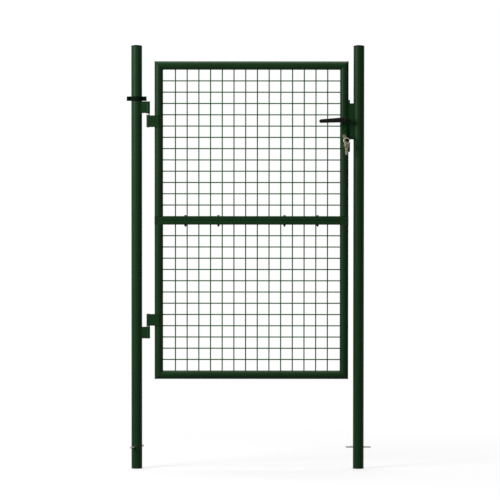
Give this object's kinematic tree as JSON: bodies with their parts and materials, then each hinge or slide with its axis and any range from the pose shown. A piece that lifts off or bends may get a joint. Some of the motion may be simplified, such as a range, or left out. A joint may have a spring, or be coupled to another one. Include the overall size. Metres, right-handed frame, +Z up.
{
  "type": "garden gate",
  "caption": "Welded mesh garden gate: a leaf of two bolted frames on lift-proof hinges, with lever lock, keys, strike and two round posts to set in concrete.",
  "frame": {"origin": "axis of the hinge post at its foot", "axes": "+Z up along the posts, +X from the hinge post to the latch post, +Y the side that the leaf opens to"},
  "size_m": [1.0835, 0.129, 1.88],
  "materials": {
    "green_powder_coat": "satin moss green powder coat",
    "black_plastic": "moulded, matt",
    "black_coated_steel": "satin black coat",
    "zinc_plated_steel": "bright zinc plate",
    "nickel_plated_brass": "satin nickel plate over brass",
    "bright_steel": "bright steel wire"
  },
  "bodies": {
    "posts": {"hinge_post": "green_powder_coat", "latch_post": "green_powder_coat", "hinge_post_cap": "black_plastic", "latch_post_cap": "black_plastic", "hinge_post_anchor_rod": "zinc_plated_steel", "latch_post_anchor_rod": "zinc_plated_steel", "clamp_front": "black_coated_steel", "clamp_rear": "black_coated_steel", "clamp_bolts": "zinc_plated_steel", "upper_hinge_post_plate": "green_powder_coat", "lower_hinge_post_plate": "green_powder_coat", "upper_hinge_pin": "zinc_plated_steel", "lower_hinge_pin": "zinc_plated_steel", "upper_hinge_spacer": "zinc_plated_steel", "lower_hinge_washer": "zinc_plated_steel", "strike_plate": "green_powder_coat"},
    "leaf": {"top_rail": "green_powder_coat", "bottom_rail": "green_powder_coat", "upper_hinge_stile": "green_powder_coat", "upper_latch_stile": "green_powder_coat", "lower_hinge_stile": "green_powder_coat", "lower_latch_stile": "green_powder_coat", "upper_meeting_rail": "green_powder_coat", "lower_meeting_rail": "green_powder_coat", "upper_mesh": "green_powder_coat", "lower_mesh": "green_powder_coat", "upper_hinge_leaf_plate": "green_powder_coat", "lower_hinge_leaf_plate": "green_powder_coat", "lock_saddle": "green_powder_coat", "front_backplate": "black_coated_steel", "rear_backplate": "black_coated_steel", "forend": "black_coated_steel", "forend_screws": "black_coated_steel", "backplate_screws": "black_coated_steel", "joining_bolts": "zinc_plated_steel", "joining_nuts": "zinc_plated_steel", "lock_case": "zinc_plated_steel", "cylinder_screw": "zinc_plated_steel", "cylinder": "nickel_plated_brass"},
    "handles": {"front_lever": "black_coated_steel", "rear_lever": "black_coated_steel", "spindle": "zinc_plated_steel", "follower": "zinc_plated_steel"},
    "latch": {"latch_bolt": "nickel_plated_brass"},
    "key_and_plug": {"key": "nickel_plated_brass", "cylinder_plug": "nickel_plated_brass", "cylinder_cam": "nickel_plated_brass"},
    "bolt": {"dead_bolt": "nickel_plated_brass"},
    "ring": {"key_ring": "bright_steel"},
    "spare_left": {"spare_key_left": "nickel_plated_brass"},
    "spare_right": {"spare_key_right": "nickel_plated_brass"}
  },
  "joints": [
    {"name": "gate_swing", "type": "hinge", "parent": "posts", "child": "leaf", "pos_m": [0.0515, -0.014, 1.1], "axis": [0, 0, 1], "range_deg": [0, 90]},
    {"name": "lever_turn", "type": "hinge", "parent": "leaf", "child": "handles", "pos_m": [0.92, 0, 1.549], "axis": [0, -1, 0], "range_deg": [0, 40], "stiffness_Nm_per_rad": 0.6, "springref_deg": -40.11},
    {"name": "latch_slide", "type": "slide", "parent": "leaf", "child": "latch", "axis": [-1, 0, 0], "range_m": [0, 0.012]},
    {"name": "key_turn", "type": "hinge", "parent": "leaf", "child": "key_and_plug", "pos_m": [0.92, 0, 1.474], "axis": [0, 1, 0], "range_deg": [0, 150]},
    {"name": "bolt_slide", "type": "slide", "parent": "leaf", "child": "bolt", "axis": [1, 0, 0], "range_m": [0, 0.014]},
    {"name": "ring_swing", "type": "hinge", "parent": "key_and_plug", "child": "ring", "pos_m": [0.92884, -0.053, 1.46516], "axis": [0, 1, 0], "range_deg": [-150, 0]},
    {"name": "spare_left_swing", "type": "hinge", "parent": "ring", "child": "spare_left", "pos_m": [0.92636, -0.053, 1.44308], "axis": [1, 0, 0], "range_deg": [-25, 15]},
    {"name": "spare_right_swing", "type": "hinge", "parent": "ring", "child": "spare_right", "pos_m": [0.93132, -0.053, 1.44308], "axis": [1, 0, 0], "range_deg": [-25, 15]}
  ],
  "couplings": [
    {"joint": "latch_slide", "follows": "lever_turn", "m_per_rad": 0.017189},
    {"joint": "bolt_slide", "follows": "key_turn", "m_per_rad": 0.0053476},
    {"joint": "ring_swing", "follows": "key_turn", "ratio": -1},
    {"joint": "spare_right_swing", "follows": "spare_left_swing", "ratio": 1}
  ]
}
